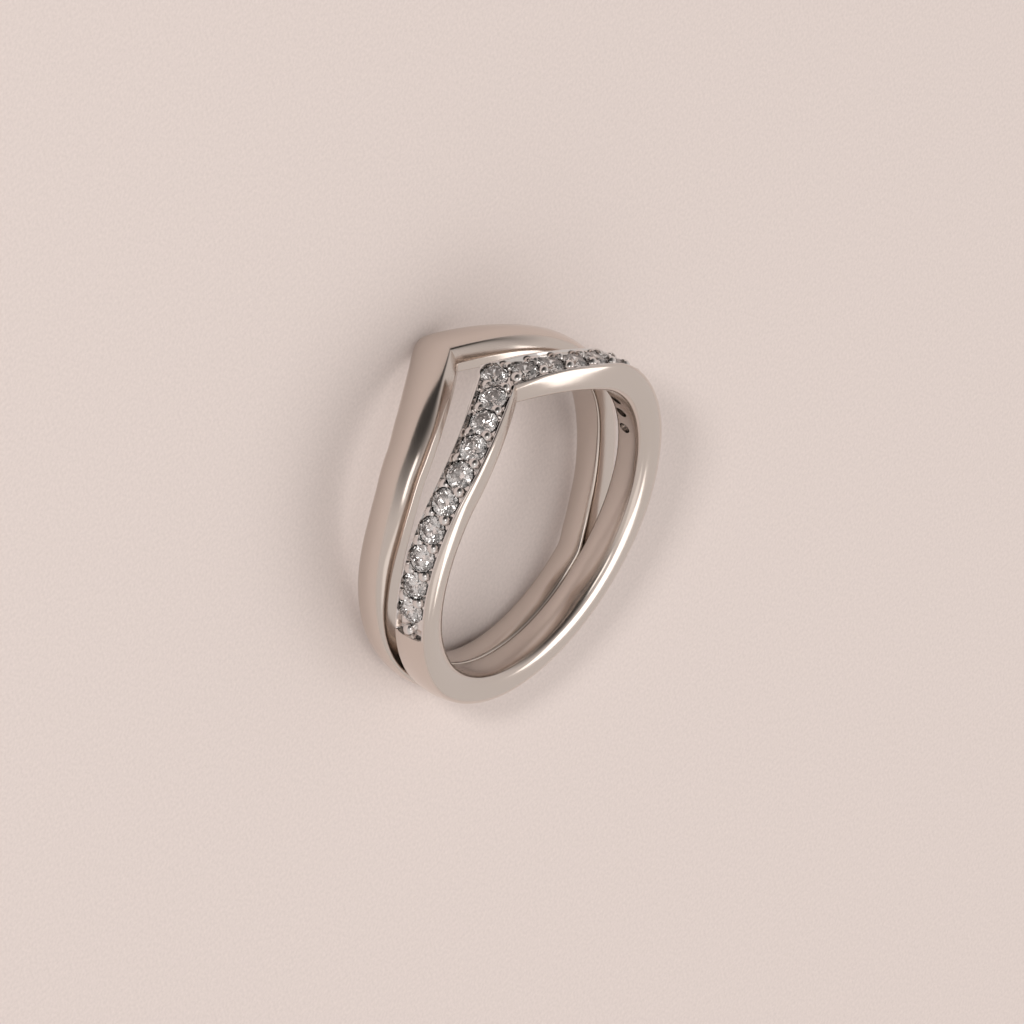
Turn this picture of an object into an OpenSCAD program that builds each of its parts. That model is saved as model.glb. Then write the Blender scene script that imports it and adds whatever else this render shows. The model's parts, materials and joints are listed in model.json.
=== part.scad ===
// Double chevron ring: a plain domed band and a stone-set band, cast in one
// piece at the back of the finger and open between them round the V.
// The ring lies on its side on its own two resting points: the tip of the
// plain band's V and the back of the shank. The stone-set band faces up.

/* [Finger] */
// Inside diameter of the ring
bore_d = 17.3; // [14:0.1:22]

/* [Chevron] */
// How far the V of the stone-set band stands out along the finger
v_depth = 1.9; // [0.5:0.01:4]
// Angle from the V to where the arms run level
v_angle = 40; // [25:1:60]
// Widest opening between the two bands
slit_w = 1.53; // [0.6:0.01:3]
// How far the two bands run into each other at the back
joint_overlap = 0.12; // [0.05:0.01:0.3]
// Angle from the V to where the two bands have joined
join_angle = 142; // [125:1:160]

/* [Stone-set band] */
// Metal from the finger to the top of the rails
set_wall = 1.55; // [1.35:0.05:2.2]
// The same at the sides of the finger
set_side_wall = 1.8; // [1.35:0.05:2.4]
// Width of this band at the back of the finger
set_back_w = 2.0; // [1.4:0.05:3]
// Rail on the polished side of the channel
near_rail = 0.18; // [0.12:0.01:0.8]
// Rail on the side of the slit
far_rail = 0.2; // [0.12:0.01:0.8]
// Depth of the channel below the rails
channel_deep = 0.3; // [0.15:0.01:0.45]
// How far its walls lean in from the rails to its floor
channel_slope = 0.17; // [0:0.01:0.3]
// Metal of the domed top above the rails
set_crown = 0.16; // [0.05:0.01:0.4]
// How far the polished side swells out round the finger
side_swell = 0.3; // [0:0.01:0.5]
// How far the inner edge is set back under the far rail
far_lean = 0.5; // [0:0.01:0.7]
// How far the polished edge is eased down at the corner of the V
corner_ease = 0.2; // [0:0.01:0.25]

/* [Plain band] */
// Metal from the finger to the crest of the dome, at the back
plain_wall = 1.7; // [1.3:0.05:2.5]
// The same at the V
plain_v_wall = 1.5; // [1.2:0.05:2.5]
// The same at the sides of the finger
plain_side_wall = 1.93; // [1.2:0.05:2.6]
// Width across the arm at the V
plain_v_w = 2.38; // [1.4:0.05:3.2]
// Width at the back of the finger
plain_back_w = 1.63; // [1.2:0.05:3]
// How far the slanted edge beside the slit is set back at the top
edge_slant = 0.48; // [0.1:0.01:0.8]
// Angle over which the tip of the V is rounded
tip_round = 3.5; // [1:0.5:12]

/* [Stones] */
// Diameter of a stone
stone_d = 1.54; // [1.2:0.01:1.8]
// Space between two stones along the arm
stone_gap = 0.14; // [0.08:0.01:0.4]
// Space from a stone to either rail
stone_margin = 0.2; // [0.05:0.01:0.4]
// Stones on each arm, beside the one at the corner
arm_stones = 9; // [3:1:9]
// Clearance between a stone and its seat
seat_gap = 0.03; // [0.02:0.005:0.06]
// How far the flat top of a stone stands above the rails
stone_proud = 0.04; // [0:0.01:0.15]
// Hole through the metal behind each stone
back_hole_d = 0.7; // [0.3:0.05:1]

/* [Beads] */
// Diameter of the beads between the stones
bead_d = 0.64; // [0.3:0.01:0.8]
// Diameter of the bead at each end of the channel
end_bead_d = 0.74; // [0.4:0.01:0.9]
// Gap between that bead and the end of the channel
end_gap = 0.15; // [0.05:0.01:0.4]
// From the edge of the channel to the middle of a bead
bead_inset = 0.5; // [0.3:0.01:0.8]
// How far a bead's top stands above the rails
bead_proud = 0.1; // [0:0.01:0.25]

/* [Hidden] */
bore_r = bore_d / 2;
rail_r = bore_r + set_wall;
channel_w = stone_d + 2 * stone_margin;
head_w = near_rail + channel_w + far_rail;
set_mid = near_rail + channel_w / 2;

// Cut of the stones, as shares of their diameter
TABLE_SHARE = 0.56;
CROWN_SHARE = 0.16;
GIRDLE_SHARE = 0.03;
PAVILION_SHARE = 0.43;
girdle_deep = (CROWN_SHARE + GIRDLE_SHARE) * stone_d - stone_proud;
pavilion = PAVILION_SHARE * stone_d;

// Facets round a stone, a bead and a back hole
STONE_SIDES = 16;
TABLE_SIDES = 8;
BEAD_SIDES = 10;
HOLE_SIDES = 10;
// How far a back hole starts inside the finger hole
HOLE_LEAD = 1;

// How sharply the arms bend towards the V
V_BEND = 1.83;
// Opening between the bands: share of join_angle, share of slit_w
OPENING = [[0, 1], [0.1, 0.995], [0.2, 0.94], [0.28, 0.83], [0.38, 0.61], [0.46, 0.52],
           [0.6, 0.49], [0.72, 0.455], [0.85, 0.33], [0.93, 0.17], [1, 0], [1.4, 0]];
// Width of the plain band: angle from the V, share of the way to its width at the back
TAPER = [[0, 0], [20, 0.12], [30, 0.24], [40, 0.5], [55, 0.7], [90, 0.84], [120, 0.98], [180, 1]];
// Walls of the two bands: angle from the V, share of the way from the wall at the V to the
// one at the sides, and then from the one at the sides to the one at the back
SET_RISE = [[0, 0], [25, 0.15], [45, 0.9], [60, 1], [180, 1]];
SET_FALL = [[0, 0], [115, 0], [145, 0.7], [180, 1]];
RISE = [[0, 0], [50, 0.1], [80, 0.58], [115, 1], [180, 1]];
FALL = [[0, 0], [115, 0], [140, 0.4], [165, 1], [180, 1]];
// Slanted edge of the plain band: angle from the V, share of edge_slant
SLANT = [[0, 1], [25, 0.9], [60, 0.82], [80, 0.6], [100, 0.2], [120, 0], [180, 0]];
// Rounding of that edge's top: angle from the V, share of the whole rounding
ROUNDING = [[0, 0], [8, 0], [28, 1], [180, 1]];
// Lower far shoulder of the plain band: angle from the V, share of the whole lowering
SHOULDER = [[0, 1], [25, 0.9], [50, 0], [180, 0]];
// Ease of the polished edge: angle from the V, share of corner_ease
EASE = [[0, 1], [4, 0.55], [10, 0], [180, 0]];
// Width of the stone-set band: angle from the V, share of the way to its width at the back
SET_TAPER = [[0, 0], [90, 0], [115, 0.5], [join_angle, 1], [180, 1]];
// Swell of the polished side: angle from the V, share of side_swell
SWELL = [[0, 0], [35, 0.2], [60, 0.9], [75, 1], [100, 0.7], [140, 0.6], [180, 0.5]];

// Section of the stone-set band: share of its width, share of side_swell,
// share of far_lean, share of set_wall, share of set_crown, share of corner_ease
SET_SECTION = [
    [0.12, 0, 0, 0, 0, 0], [0.03, 0.15, 0, 0.08, 0, 0], [0, 0.6, 0, 0.26, 0, 0],
    [0, 1, 0, 0.55, 0, 0.1], [0, 0.95, 0, 0.8, 0, 0.6], [0.01, 0.6, 0, 0.95, 0, 1],
    [0.04, 0.2, 0, 1, 0, 1], [0.07, 0, 0, 1, 0.1, 0.9], [0.33, 0, 0, 1, 0.9, 0],
    [0.62, 0, 0, 1, 0.95, 0], [0.86, 0, 0, 1, 0.3, 0], [0.96, 0, 0, 1, -0.1, 0],
    [1, 0, 0.05, 0.9, 0, 0], [1, 0, 0.55, 0.4, 0, 0], [0.99, 0, 0.9, 0.1, 0, 0],
    [0.9, 0, 1, 0, 0, 0]];
// Section of the plain band: share of its width, share of edge_slant, share of its
// wall, share of its wall that comes with the slant, and with the slant's rounding
PLAIN_SECTION = [
    [0.12, 0, 0, 0, 0, 0], [0.02, 0, 0.05, 0, 0, 0], [0, 0, 0.17, 0, 0, 0],
    [0, 0, 0.84, -0.36, 0, 0], [0, 0.5, 0.89, -0.13, 0, 0], [0.03, 1, 0.93, 0.045, -0.1, 0],
    [0.14, 1, 0.975, 0.025, -0.055, 0], [0.32, 1, 1, 0.005, -0.014, 0],
    [0.5, 1, 0.995, 0, 0, -0.03], [0.68, 1, 0.965, 0, 0, -0.075], [0.84, 1, 0.9, 0, 0, -0.12],
    [0.95, 1, 0.76, 0, 0, -0.15], [1, 1, 0.52, 0, 0, -0.12], [0.98, 1, 0.24, 0, 0, -0.04],
    [0.9, 1, 0.07, 0, 0, 0], [0.76, 1, 0, 0, 0, 0]];

// Straight line through a table of two columns, and the same line bent smoothly through it
function row_of(table, x, i = 0) =
    (i >= len(table) - 2 || x < table[i + 1][0]) ? i : row_of(table, x, i + 1);
function rise(table, i) =
    (table[i + 1][1] - table[i][1]) / (table[i + 1][0] - table[i][0]);
function bend(table, i) =
    i == 0 ? rise(table, 0)
    : i >= len(table) - 1 ? 0
    : rise(table, i - 1) * rise(table, i) <= 0 ? 0
    : 2 / (1 / rise(table, i - 1) + 1 / rise(table, i));
function smooth_at(table, x) =
    let (i = row_of(table, x), w = table[i + 1][0] - table[i][0],
         u = min(1, max(0, (x - table[i][0]) / w)))
    table[i][1] * (1 + 2 * u) * pow(1 - u, 2) + bend(table, i) * w * u * pow(1 - u, 2)
    + table[i + 1][1] * pow(u, 2) * (3 - 2 * u) + bend(table, i + 1) * w * pow(u, 2) * (u - 1);

// Lengths along the finger at an angle t from the V, counted from the
// polished side of the shank. Widths are measured across the arm, so along
// the finger they grow by the slope of the arm.
deg_len = rail_r * PI / 180;
function set_near(t) = v_depth * pow(max(0, 1 - t / v_angle), V_BEND);
function lengthen(a, b, step) = sqrt(1 + pow((b - a) / (step * deg_len), 2));
function set_stretch(t) = lengthen(set_near(t), set_near(t + 1), 1);
function set_w(t) =
    (head_w + (set_back_w - head_w) * smooth_at(SET_TAPER, t)) * set_stretch(t);
function opening(t) =
    (slit_w + joint_overlap) * smooth_at(OPENING, t / join_angle) - joint_overlap;
function plain_near(t) = set_near(t) + set_w(t) + opening(t);
function plain_w(t) =
    (plain_v_w + (plain_back_w - plain_v_w) * smooth_at(TAPER, t))
    * lengthen(plain_near(t), plain_near(t + 1), 1);
function slant(t) = edge_slant * smooth_at(SLANT, t);
function plain_far(t) =
    let (s = sqrt(t * t + tip_round * tip_round)) plain_near(s) + slant(s) + plain_w(s);
function wall_at(v, side, back, rise, fall, t) =
    v + (side - v) * smooth_at(rise, t) + (back - side) * smooth_at(fall, t);
function plain_rise(t) = wall_at(plain_v_wall, plain_side_wall, plain_wall, RISE, FALL, t);
function set_rise(t) = wall_at(set_wall, set_side_wall, set_wall, SET_RISE, SET_FALL, t);
function rail_at(t) = bore_r + set_rise(t);

// A point on the ring: angle from the V, radius, length along the finger
function spot(a, r, t) = [r * sin(a), -r * cos(a), -t];

// Angles of the sections from the V, closer together there. The three bodies
// have different counts, so none of their sections fall together.
SET_SECTIONS = 34;
PLAIN_SECTIONS = 33;
CHANNEL_SECTIONS = 22;
CROWDING = 1.3;
function stations(n, last) = [for (i = [0 : n]) last * pow(i / n, CROWDING)];
function mirrored(half) = concat([for (i = [len(half) - 1 : -1 : 1]) -half[i]], half);
function all_round(n) = [for (a = mirrored(stations(n, 180))) if (a > -180) a];
SET_ROUND = all_round(SET_SECTIONS);
PLAIN_ROUND = all_round(PLAIN_SECTIONS);

function set_ring(a) = let (t = abs(a), w = set_w(t), near = set_near(t), wall = set_rise(t),
        lean = far_lean * (1 - smooth_at(SET_TAPER, t)), swell = side_swell * smooth_at(SWELL, t),
        ease = corner_ease * smooth_at(EASE, t))
    [for (p = SET_SECTION)
        spot(a, bore_r + p[3] * wall + p[4] * set_crown - p[5] * ease,
             near + p[0] * w - p[1] * swell - p[2] * lean)];
function plain_ring(a) =
    let (t = abs(a), near = plain_near(t), back = slant(t), w = plain_far(t) - near - back,
         wall = plain_rise(t), slanted = smooth_at(SLANT, t), round_off = smooth_at(ROUNDING, t),
         low = smooth_at(SHOULDER, t))
    [for (p = PLAIN_SECTION)
        spot(a, bore_r + wall * (p[2] + slanted * (p[3] + round_off * p[4]) + low * p[5]),
             near + p[0] * w + p[1] * back)];

// Skin over a row of rings with the same number of points, joined end to end
module skin(rings, closed = true) {
    n = len(rings);
    m = len(rings[0]);
    sides = [for (i = [0 : closed ? n - 1 : n - 2], j = [0 : m - 1], half = [0, 1])
        let (i2 = (i + 1) % n, j2 = (j + 1) % m)
        half == 0 ? [i * m + j, i2 * m + j, i2 * m + j2] : [i * m + j, i2 * m + j2, i * m + j2]];
    ends = closed ? []
        : [[for (j = [0 : m - 1]) j], [for (j = [m - 1 : -1 : 0]) (n - 1) * m + j]];
    polyhedron([for (ring = rings) each ring], concat(sides, ends));
}

// Places along an arm: the length on the middle of the channel from the V
STEP = 0.5;
function set_line(t) = set_near(t) + set_mid * set_stretch(t);
function arm_step(t) =
    sqrt(pow(STEP * deg_len, 2) + pow(set_line(t + STEP) - set_line(t), 2));
function angle_at(s, t = 0) =
    s <= arm_step(t) || t > 170 ? t + STEP * s / arm_step(t) : angle_at(s - arm_step(t), t + STEP);

// The corner stone sits a share of its diameter nearer the tip, so the first
// stones of the arms move in a little
CORNER_SHIFT = 0.2;
CORNER_CLOSE = 0.05;
pitch = stone_d + stone_gap;
corner_shift = CORNER_SHIFT * stone_d;
first_place = pitch - CORNER_CLOSE * stone_d;
PLACES = [for (i = [1 : arm_stones]) angle_at(first_place + (i - 1) * pitch)];
last_edge = first_place + (arm_stones - 1) * pitch + stone_d / 2;
end_angle = angle_at(last_edge + stone_gap + end_bead_d / 2);
channel_end = angle_at(last_edge + stone_gap + end_bead_d + end_gap);

module at_spot(a, r, t) {
    rotate([0, 0, a]) translate([0, -r, -t]) rotate([90, 0, 0]) children();
}

// A round brilliant, girdle at the origin and table up, grown by g all round
module brilliant(g = 0) {
    r = stone_d / 2 + g;
    girdle = GIRDLE_SHARE * stone_d;
    hull() {
        translate([0, 0, -pavilion - g])
            cylinder(r1 = 0, r2 = r, h = pavilion + g, $fn = STONE_SIDES);
        cylinder(r = r, h = girdle, $fn = STONE_SIDES);
        translate([0, 0, girdle]) rotate([0, 0, 180 / TABLE_SIDES])
            cylinder(r1 = 0.9 * r, r2 = TABLE_SHARE * r, h = CROWN_SHARE * stone_d + g,
                     $fn = TABLE_SIDES);
    }
}

// Stone i of an arm, where side is -1 or 1, and i = 0 is the one at the corner
function stone_angle(i) = i == 0 ? 0 : PLACES[i - 1];
function girdle_at(i) = rail_at(stone_angle(i)) - girdle_deep;
function stone_line(i) = i == 0 ? set_line(0) + corner_shift : set_line(stone_angle(i));
module stone_seat(i, side, g = 0) {
    at_spot(side * stone_angle(i), girdle_at(i), stone_line(i)) brilliant(g);
}

module channel_cut() {
    skin([for (a = mirrored(stations(CHANNEL_SECTIONS, channel_end)))
        let (t = abs(a), k = set_stretch(t), left = set_near(t) + near_rail * k,
             right = left + channel_w * k, slope = channel_slope * k, top = rail_at(t))
        [spot(a, top - channel_deep, left + slope), spot(a, top, left), spot(a, top + set_wall, left),
         spot(a, top + set_wall, right), spot(a, top, right),
         spot(a, top - channel_deep, right - slope)]], closed = false);
}

module bead(a, t, d) {
    at_spot(a, rail_at(abs(a)) + bead_proud - d / 2, t) sphere(d = d, $fn = BEAD_SIDES);
}

// Two beads between each pair of stones, level with each other across the arm,
// and one at each end of the channel
bead_off = channel_w / 2 - bead_inset;
function arm_slope(t) = (set_line(t + STEP) - set_line(t)) / (STEP * deg_len);
module beads() {
    for (side = [-1, 1]) {
        for (i = [1 : arm_stones], row = [-1, 1]) {
            a = (stone_angle(i - 1) + stone_angle(i)) / 2;
            off = row * bead_off / set_stretch(a);
            bead(side * (a - off * arm_slope(a) / deg_len), set_line(a) + off, bead_d);
        }
        bead(side * end_angle, set_line(end_angle), end_bead_d);
    }
}

module band_local() {
    difference() {
        union() {
            difference() {
                union() {
                    skin([for (a = SET_ROUND) set_ring(a)]);
                    skin([for (a = PLAIN_ROUND) plain_ring(a)]);
                }
                channel_cut();
            }
            beads();
        }
        for (i = [0 : arm_stones], side = i == 0 ? [1] : [-1, 1]) {
            stone_seat(i, side, seat_gap);
            at_spot(side * stone_angle(i), bore_r - HOLE_LEAD, stone_line(i))
                cylinder(d = back_hole_d, h = girdle_at(i) - pavilion / 2 - bore_r + HOLE_LEAD,
                         $fn = HOLE_SIDES);
        }
    }
}

// The ring tips until its front half and its back half stand equally low
FRONT = [for (a = PLAIN_ROUND) if (abs(a) < 90) each plain_ring(a)];
BACK = [for (a = PLAIN_ROUND) if (abs(a) >= 90) each plain_ring(a)];
function tipped(p, lean) = p[2] * cos(lean) - p[1] * sin(lean);
function lowest(points, lean) = min([for (p = points) tipped(p, lean)]);
function lean_of(low, high, turns) = let (middle = (low + high) / 2)
    turns == 0 ? middle
    : lowest(FRONT, middle) < lowest(BACK, middle) ? lean_of(middle, high, turns - 1)
    : lean_of(low, middle, turns - 1);
lean = lean_of(0, 45, 16);
drop = lowest(concat(FRONT, BACK), lean);
function forward(p) = p[1] * cos(lean) + p[2] * sin(lean);
DEPTHS = concat([for (a = SET_ROUND) each [for (p = set_ring(a)) forward(p)]],
                [for (p = concat(FRONT, BACK)) forward(p)]);
centre = (min(DEPTHS) + max(DEPTHS)) / 2;

module lying() {
    translate([0, -centre, -drop]) rotate([-lean, 0, 0]) children();
}

// Names of the stones: the corner first, then each arm from the V outwards
STONES = concat(["stone_corner"], [for (i = [1 : arm_stones]) str("stone_left_", i)],
                [for (i = [1 : arm_stones]) str("stone_right_", i)]);

module band() {
    color("silver") lying() band_local();
}

// Stone number n in the list of names
module stone(n) {
    i = n <= arm_stones ? n : n - arm_stones;
    side = n <= arm_stones ? 1 : -1;
    color("aliceblue") lying() stone_seat(i, side);
}

band();
for (n = [0 : len(STONES) - 1])
    stone(n);
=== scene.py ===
"""Looks of the chevron ring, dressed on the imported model.

The ring is a double chevron band in warm white metal: a plain domed band and a
band set with round brilliants in a channel, joined at the back of the finger.
"""

import json
import math

import bmesh
import bpy
import numpy as np
from mathutils import Matrix, Vector


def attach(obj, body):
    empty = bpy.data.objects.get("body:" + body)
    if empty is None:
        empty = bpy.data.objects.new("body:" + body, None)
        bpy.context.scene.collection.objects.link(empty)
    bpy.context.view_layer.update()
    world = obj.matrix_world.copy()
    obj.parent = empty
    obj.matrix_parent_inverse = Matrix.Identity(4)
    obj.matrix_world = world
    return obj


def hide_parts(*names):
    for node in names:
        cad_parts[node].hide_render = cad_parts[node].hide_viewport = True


bl_info = {
    "name": "Chevron Ring",
    "version": (1, 0, 0),
    "blender": (4, 5, 0),
    "location": "View3D > Sidebar > Chevron Ring",
    "description": "Polished double chevron ring with a row of brilliants",
    "category": "Add Mesh",
}

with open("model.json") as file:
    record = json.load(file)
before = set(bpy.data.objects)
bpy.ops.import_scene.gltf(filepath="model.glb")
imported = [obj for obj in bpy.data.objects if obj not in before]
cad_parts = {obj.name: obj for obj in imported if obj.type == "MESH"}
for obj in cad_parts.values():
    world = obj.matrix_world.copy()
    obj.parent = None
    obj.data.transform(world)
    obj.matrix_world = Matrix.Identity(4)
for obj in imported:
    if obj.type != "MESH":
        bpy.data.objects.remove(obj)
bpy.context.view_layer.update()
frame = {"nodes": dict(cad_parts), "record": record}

MM = 0.001
BAND = "band"
STONE_NODES = sorted(n for n in frame["nodes"] if n.startswith("stone"))

# The finger hole's mount gives the bore, the finger's axis and a point on it.
FINGER = next(m for m in frame["record"]["mounts"] if m["name"] == "finger_hole")
BORE_R = FINGER["dims"]["r_mm"] * MM
FINGER_AXIS = Vector(FINGER["axis"]).normalized()
# The mount stands this far along the finger from the polished side of the shank
MOUNT_ALONG = 4.225 * MM
ZERO = Vector(FINGER["pos_m"]) + FINGER_AXIS * MOUNT_ALONG
# The finger's axis leans from upright towards the back of the shank
LEAN = math.atan2(FINGER_AXIS.y, FINGER_AXIS.z)

# Forms of the ring, by the angle from the V in degrees
TAPER = [(0, 0), (20, 0.12), (30, 0.24), (40, 0.5), (55, 0.7), (90, 0.84), (120, 0.98),
         (180, 1)]
# Walls: share of the way from the V to the sides, and from the sides to the back
RISE = [(0, 0), (50, 0.1), (80, 0.58), (115, 1), (180, 1)]
FALL = [(0, 0), (115, 0), (140, 0.4), (165, 1), (180, 1)]
SET_RISE = [(0, 0), (25, 0.15), (45, 0.9), (60, 1), (180, 1)]
SET_FALL = [(0, 0), (115, 0), (145, 0.7), (180, 1)]
SLANT = [(0, 1), (25, 0.9), (60, 0.82), (80, 0.6), (100, 0.2), (120, 0), (180, 0)]
ROUNDING = [(0, 0), (8, 0), (28, 1), (180, 1)]
SHOULDER = [(0, 1), (25, 0.9), (50, 0), (180, 0)]
# How the far rail thins out beside the stones, as a share of its whole thinning
THINNING = [(0, 0), (10, 0), (20, 0.35), (32, 0.55), (46, 1), (90, 1), (120, 0.4), (142, 0),
            (180, 0)]
EASE = [(0, 1), (4, 0.55), (10, 0), (180, 0)]
SWELL = [(0, 0), (35, 0.2), (60, 0.9), (75, 1), (100, 0.7), (140, 0.6), (180, 0.5)]
V_BEND = 1.83
# Opening between the bands: share of the joining angle, share of the slit's width
OPENING = [(0, 1), (0.1, 0.995), (0.2, 0.94), (0.28, 0.83), (0.38, 0.61), (0.46, 0.52),
           (0.6, 0.49), (0.72, 0.455), (0.85, 0.33), (0.93, 0.17), (1, 0), (1.4, 0)]
# Height of the crown across the stone-set band: share of its width, share of its crown
CROWN = [(0, 0), (0.08, 0.12), (0.2, 0.55), (0.35, 0.9), (0.5, 1), (0.65, 0.9),
         (0.8, 0.5), (0.9, 0.15), (1, -0.1)]

# Cut of a brilliant, as shares of its radius, and its two main slopes
TABLE_SHARE = 0.56
GIRDLE_SHARE = 0.06
STAR_SHARE = 0.76
LOWER_SHARE = 0.23
# Depth from the girdle's lower edge to the culet, as a share of the stone's diameter
CULET_SHARE = 0.43
CROWN_SLOPE = math.tan(math.radians(34.5))
PAVILION_SLOPE = math.tan(math.radians(40.7))


class RingSizes(bpy.types.PropertyGroup):
    """Sizes of the two bands, in metres and degrees"""

    v_depth: bpy.props.FloatProperty(
        name="V depth", description="How far the V stands out along the finger",
        default=1.9 * MM, unit="LENGTH")
    v_angle: bpy.props.FloatProperty(
        name="V angle", description="Angle from the V to the level arm, in degrees",
        default=40)
    slit: bpy.props.FloatProperty(
        name="Slit", description="Widest opening between the two bands",
        default=1.53 * MM, unit="LENGTH")
    overlap: bpy.props.FloatProperty(
        name="Overlap", description="How far the bands run into each other at the back",
        default=0.12 * MM, unit="LENGTH")
    join_angle: bpy.props.FloatProperty(
        name="Join angle", description="Angle from the V to where the bands have joined",
        default=142)
    set_wall: bpy.props.FloatProperty(
        name="Stone-set wall", description="Metal from the finger to the rails",
        default=1.55 * MM, unit="LENGTH")
    set_side_wall: bpy.props.FloatProperty(
        name="Stone-set side wall", description="The same at the sides of the finger",
        default=1.8 * MM, unit="LENGTH")
    set_back: bpy.props.FloatProperty(
        name="Stone-set back width", description="Width of the stone-set band at the back",
        default=2.0 * MM, unit="LENGTH")
    near_rail: bpy.props.FloatProperty(
        name="Near rail", description="Rail on the polished side of the channel",
        default=0.18 * MM, unit="LENGTH")
    far_rail: bpy.props.FloatProperty(
        name="Far rail", description="Rail on the side of the slit",
        default=0.2 * MM, unit="LENGTH")
    channel: bpy.props.FloatProperty(
        name="Channel width", description="Width of the channel across the arm",
        default=1.94 * MM, unit="LENGTH")
    rail_thinning: bpy.props.FloatProperty(
        name="Rail thinning", description="How much the far rail thins beside the stones",
        default=0.3 * MM, unit="LENGTH")
    channel_slope: bpy.props.FloatProperty(
        name="Channel slope", description="How far the channel's walls lean in to its floor",
        default=0.17 * MM, unit="LENGTH")
    channel_deep: bpy.props.FloatProperty(
        name="Channel depth", description="Depth of the channel below the rails",
        default=0.3 * MM, unit="LENGTH")
    crown: bpy.props.FloatProperty(
        name="Crown", description="Metal of the domed top above the rails",
        default=0.16 * MM, unit="LENGTH")
    swell: bpy.props.FloatProperty(
        name="Swell", description="How far the polished side swells out",
        default=0.3 * MM, unit="LENGTH")
    lean: bpy.props.FloatProperty(
        name="Far lean", description="How far the inner edge is set back under the far rail",
        default=0.5 * MM, unit="LENGTH")
    ease: bpy.props.FloatProperty(
        name="Corner ease", description="How far the polished edge dips at the V",
        default=0.2 * MM, unit="LENGTH")
    plain_wall: bpy.props.FloatProperty(
        name="Plain wall", description="Metal from the finger to the dome, at the back",
        default=1.7 * MM, unit="LENGTH")
    plain_side_wall: bpy.props.FloatProperty(
        name="Plain side wall", description="Metal from the finger to the dome, at the sides",
        default=1.93 * MM, unit="LENGTH")
    plain_v_wall: bpy.props.FloatProperty(
        name="Plain wall at the V", description="Metal from the finger to the dome, at the V",
        default=1.5 * MM, unit="LENGTH")
    plain_v: bpy.props.FloatProperty(
        name="Plain width at the V", description="Width across the arm at the V",
        default=2.38 * MM, unit="LENGTH")
    plain_back: bpy.props.FloatProperty(
        name="Plain width at the back", description="Width of the plain band at the back",
        default=1.63 * MM, unit="LENGTH")
    edge_slant: bpy.props.FloatProperty(
        name="Edge slant", description="How far the edge beside the slit is set back on top",
        default=0.48 * MM, unit="LENGTH")
    tip_round: bpy.props.FloatProperty(
        name="Tip rounding", description="Angle over which the tip is rounded, in degrees",
        default=3.5)


class StoneSizes(bpy.types.PropertyGroup):
    """Sizes of the stones and of the beads that hold them"""

    diameter: bpy.props.FloatProperty(
        name="Stone", description="Diameter of a stone", default=1.54 * MM, unit="LENGTH")
    seat_gap: bpy.props.FloatProperty(
        name="Seat gap", description="Clearance between a stone and its seat",
        default=0.03 * MM, unit="LENGTH")
    back_hole: bpy.props.FloatProperty(
        name="Back hole", description="Hole through the metal behind each stone",
        default=0.7 * MM, unit="LENGTH")
    bead: bpy.props.FloatProperty(
        name="Bead", description="Diameter of the beads between the stones",
        default=0.7 * MM, unit="LENGTH")
    end_bead: bpy.props.FloatProperty(
        name="End bead", description="Diameter of the bead at each end",
        default=0.74 * MM, unit="LENGTH")
    bead_inset: bpy.props.FloatProperty(
        name="Bead inset", description="From the edge of the channel to a bead's middle",
        default=0.5 * MM, unit="LENGTH")
    bead_proud: bpy.props.FloatProperty(
        name="Bead proud", description="How far a bead stands above the rails",
        default=0.17 * MM, unit="LENGTH")


class RingFinish(bpy.types.PropertyGroup):
    """Colours of the metal, the stones and the studio"""

    metal: bpy.props.FloatVectorProperty(
        name="Metal", description="Colour of the polished metal", subtype="COLOR",
        size=4, default=(0.68, 0.612, 0.563, 1))
    setting: bpy.props.FloatVectorProperty(
        name="Setting", description="Colour of the bright-cut metal round the stones",
        subtype="COLOR", size=4, default=(0.76, 0.735, 0.72, 1))
    metal_rough: bpy.props.FloatProperty(
        name="Metal roughness", description="Roughness of the polished metal", default=0.17)
    setting_rough: bpy.props.FloatProperty(
        name="Setting roughness", description="Roughness of the bright-cut metal", default=0.06)
    stone: bpy.props.FloatVectorProperty(
        name="Stone", description="Colour of the stones", subtype="COLOR",
        size=4, default=(1, 1, 1, 1))
    floor: bpy.props.FloatVectorProperty(
        name="Floor", description="Colour of the studio's floor", subtype="COLOR",
        size=4, default=(0.7, 0.634, 0.61, 1))


def smooth_at(table, x):
    """A table of two columns at x: a cubic between each two rows whose slope at a
    row is the harmonic mean of the rises on its two sides, so it never overshoots."""
    xs, ys = np.array(table, float).T
    rise = np.diff(ys) / np.diff(xs)
    slope = np.zeros(len(xs))
    slope[0] = rise[0]
    same = rise[:-1] * rise[1:] > 0
    inner = np.zeros(len(rise) - 1)
    inner[same] = 2 / (1 / rise[:-1][same] + 1 / rise[1:][same])
    slope[1:-1] = inner
    x = np.asarray(x, float)
    i = np.clip(np.searchsorted(xs, x, side="right") - 1, 0, len(xs) - 2)
    w = xs[i + 1] - xs[i]
    u = np.clip((x - xs[i]) / w, 0, 1)
    return (ys[i] * (1 + 2 * u) * (1 - u) ** 2 + slope[i] * w * u * (1 - u) ** 2
            + ys[i + 1] * u ** 2 * (3 - 2 * u) + slope[i + 1] * w * u ** 2 * (u - 1))


def mix(a, b, share):
    """From a to b by a share, for single values and arrays alike."""
    return a + (b - a) * share


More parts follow.
